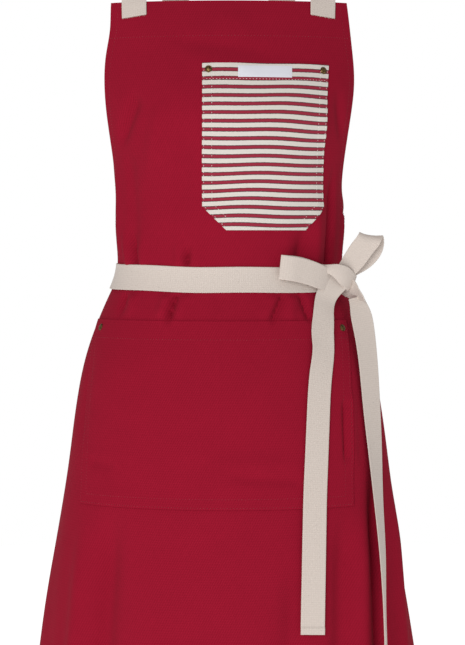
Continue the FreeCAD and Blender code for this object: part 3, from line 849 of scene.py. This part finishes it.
# ---------------------------------------------------------------- waist belt
# The same webbing, nearly two metres of it with its ends, laid round the waist over the panel.
# It is drawn tight, a touch narrower for it, and tied in a bow at the wearer's left.

girth_half = girth(waist)[3][-1]
belt_start, belt_end = 131.9, 132.1 - 2 * girth_half
belt_lift, belt_width = 1.95, 29.0


def belt_place(s, w, lift):
    """Along the belt from the knot round the front, across the back and to the knot again."""
    s, w, lift = np.broadcast_arrays(s, w, lift)
    wander = 0.7 * np.sin(s / 41) + 0.35 * np.sin(s / 17 + 1)
    drop = np.round(waist - w + 0 * s, 2)
    places = np.empty(s.shape + (3,))
    for value in np.unique(drop):
        here = drop == value
        share = girth(value)[3][-1] / girth_half
        places[here] = on_figure((belt_start - s[here]) * share, value, lift[here] + belt_lift)
    places[..., 2] += wander + 3.2 * ease(s, 70, 270) * (1 - ease(s, 330, 560))
    return places


belt = webbing_piece("belt_webbing", belt_start - belt_end, belt_place, belt_width)
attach(belt, "apron")
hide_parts("waist_belt")

# ---------------------------------------------------------------- knot of the bow
# The belt's ends, crossed and drawn up. One turn of the webbing is wrapped aslant over the crossing
# and gathered by the pull, with both loops and both tails coming out from under it.


def folded_route(path, over=1):
    """Route of webbing through (place, width's direction) pairs; with over=-1 its other face is outwards."""
    places = np.array([place for place, way in path], float)
    facings = []
    for index, (place, way) in enumerate(path):
        ahead = places[min(index + 1, len(places) - 1)] - places[max(index - 1, 0)]
        facing = np.cross(over * np.array(way, float), ahead)
        facings.append(facing / np.linalg.norm(facing))
    return along_route(places, facings)


wrap_path = [((112, -58.5, -388), (-0.1, 0.2, 0.97)), ((105.2, -59, -386.5), (0.1, 0.1, 0.98)),
             ((104.6, -62, -386.2), (0.25, 0, 0.96)), ((111.5, -67.6, -387.4), (0.4, 0, 0.9)),
             ((120.3, -68.2, -389.2), (0.50, 0.05, 0.86)), ((129.5, -65, -394), (0.52, 0.15, 0.84)),
             ((137, -57.5, -400.8), (0.53, 0.3, 0.78)), ((140.5, -48.5, -404.6), (0.5, 0.45, 0.74)),
             ((137.5, -41, -404), (0.4, 0.5, 0.76))]
drawn_in = ((0, 14, 22, 30, 40, 52, 62), (0.3, 0.3, 0.42, 0.6, 0.78, 0.8, 0.7))
route, length = folded_route(wrap_path, over=-1)
wrap = webbing_piece("knot_wrap", length, route, 28.0, gather=lambda s: np.interp(s, *drawn_in),
                     cup=lambda s: 1.4 + 0 * s)
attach(wrap, "apron")
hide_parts("bow_knot")

# ---------------------------------------------------------------- loops of the bow
# Each loop is webbing folded back on itself. The left one lies along the belt; the right one
# stands up and away from the wearer's side and shows the inside of its back layer.

# Out from the knot, up, and away from the wearer.
left_path = [(0, -5, 3), (12, -1.5, 2), (26, 3.5, 1.5), (42, 8, 1.2), (56, 9.5, 1.5), (62.5, 10, 4.8),
             (56, 9, 9), (42, 6.5, 10), (26, 2, 9.5), (12, -3, 8.5), (0, -6.5, 6.5)]
route, length = folded_route([(on_figure(117 - out, 395 - rise, 6.7 + lift), (0.1, 0, 1.0))
                              for out, rise, lift in left_path])
loop_left = webbing_piece("bow_loop_left_webbing", length, route,
                          gather=lambda s: 0.93 - 0.1 * np.exp(-((s - length) / 16) ** 2))
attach(loop_left, "loop_left")
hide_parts("bow_loop_left")

right_path = [((130.5, -52, -392), (0.80, 0.25, -0.54)), ((135.5, -54.5, -386), (0.84, 0.22, -0.50)),
              ((143, -58, -375.5), (0.90, 0.2, -0.38)), ((151.2, -61, -363.5), (0.94, 0.15, -0.28)),
              ((157.6, -61.8, -355), (0.97, 0.1, -0.22)), ((160, -59.4, -351.6), (0.98, 0.05, -0.17)),
              ((161.2, -54.8, -351), (0.98, 0.02, -0.16)), ((162.8, -50.6, -356.4), (0.98, 0.05, -0.20)),
              ((160, -47.6, -368), (0.92, 0.18, -0.36)), ((149, -46, -379.4), (0.84, 0.22, -0.50)),
              ((137, -46, -388), (0.80, 0.25, -0.54))]
route, length = folded_route(right_path)
loop_right = webbing_piece("bow_loop_right_webbing", length, route,
                           gather=lambda s: (0.9 - 0.16 * np.exp(-(s / 14) ** 2)
                                             - 0.16 * np.exp(-((s - length) / 14) ** 2)))
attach(loop_right, "loop_right")
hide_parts("bow_loop_right")

# ---------------------------------------------------------------- tails of the bow
# The belt's two free ends. The front one comes from under the knot and hangs down over the pocket;
# the other drops beside the hip and turns edge-on. Each ends in a small turned and stitched hem.


def turned_end(length):
    """The webbing's thickness, which steps up where its last 8 mm are turned under."""
    return lambda s: 1.3 + 1.0 * ease(s, length - 8.4, length - 7.6)


def end_seam(name, route, length):
    """One row of cream stitches across a tail's turned end."""
    row = dense([(length - 7.2, -12), (length - 7.2, 12)], 3.0)
    return stitched(name, route, [row], 2.3, cream_thread, length=1.9, pitch=2.6, thread=0.5)


front_top, front_fall = 417, 372
front_route = [((127.5, -57, -396), (-0.80, -0.15, 0.58)), ((120.5, -61.5, -403), (-0.82, -0.2, 0.55)),
               ((113.8, -65.5, -411.5), (-0.85, -0.3, 0.45)), ((109.4, -68.5, -421), (-0.88, -0.4, 0.22)),
               ((107.3, -73.5, -432), (-0.88, -0.44, 0.08)), ((106.2, -79, -445), (-0.9, -0.42, 0)),
               ((105.2, -84.5, -459), (-0.9, -0.43, 0))]
for down in np.linspace(0.155, 1, 13):
    drop = front_top + front_fall * down
    x = np.interp(down, (0.12, 0.3, 0.6, 1), (104.3, 98.6, 94.0, 91.0))
    breadth, front, back = figure_line(drop)[0]
    y = -front * math.sqrt(1 - (x / breadth) ** 2)
    facing = Vector((x / breadth ** 2, y / front ** 2, 0)).normalized()
    lift = 4.5 + 6 * (1 - down) ** 14
    front_route.append((Vector((x, y, -drop)) + facing * lift, (facing.y, -facing.x, 0)))
route, length = folded_route(front_route)
tail = webbing_piece("front_tail_webbing", length, route, thick=turned_end(length),
                     gather=lambda s: 0.96 - 0.1 * np.exp(-((s - 42) / 26) ** 2),
                     cup=lambda s: 1.2 * np.exp(-((s - 30) / 26) ** 2))
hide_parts("front_tail")
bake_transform(tail)
seams = end_seam("front_tail_seams", route, length)
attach(seams, "tail_front")

# The side tail comes out from the knot aslant and is folded over before it hangs.
head_route = [((124, -47, -396.5), (-0.55, 0.3, -0.78)), ((131, -48.5, -403.5), (-0.55, 0.35, -0.76)),
              ((137, -50, -410.5), (-0.5, 0.62, -0.6)), ((142.5, -50.8, -415.5), (-0.4, 0.83, -0.4)),
              ((147, -51.2, -419.5), (-0.25, 0.95, -0.2)), ((149, -50.5, -423), (-0.2, 0.97, -0.1))]
route, length = folded_route(head_route, over=-1)
head = webbing_piece("side_tail_turn", length, route,
                     gather=lambda s: 0.78 + 0.1 * ease(s, 5, 25))
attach(head, "apron")
side_top, side_fall = 420, 426
side_places, side_facings = [], []
for down, x, y, turn in ((0, 144.2, -49.4, 18), (0.04, 149.2, -51.5, 26), (0.09, 153.4, -53.0, 33),
                         (0.15, 156.8, -54.5, 38), (0.27, 161.0, -57.0, 44), (0.41, 165.4, -60, 55),
                         (0.54, 168.8, -69, 66), (0.67, 172.4, -82, 73), (0.8, 174, -95, 81),
                         (0.92, 175.2, -104, 82), (1, 176, -109, 80)):
    turned = math.radians(turn)
    side_places.append((x, y, -side_top - side_fall * down))
    side_facings.append((math.sin(turned), -math.cos(turned), 0))
route, length = along_route(side_places, side_facings)
tail = webbing_piece("side_tail_webbing", length, route, thick=turned_end(length),
                     gather=lambda s: 0.97 - 0.34 * np.exp(-(s / 16) ** 2))
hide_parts("side_tail")
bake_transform(tail)
seams = end_seam("side_tail_seams", route, length)
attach(seams, "tail_side")
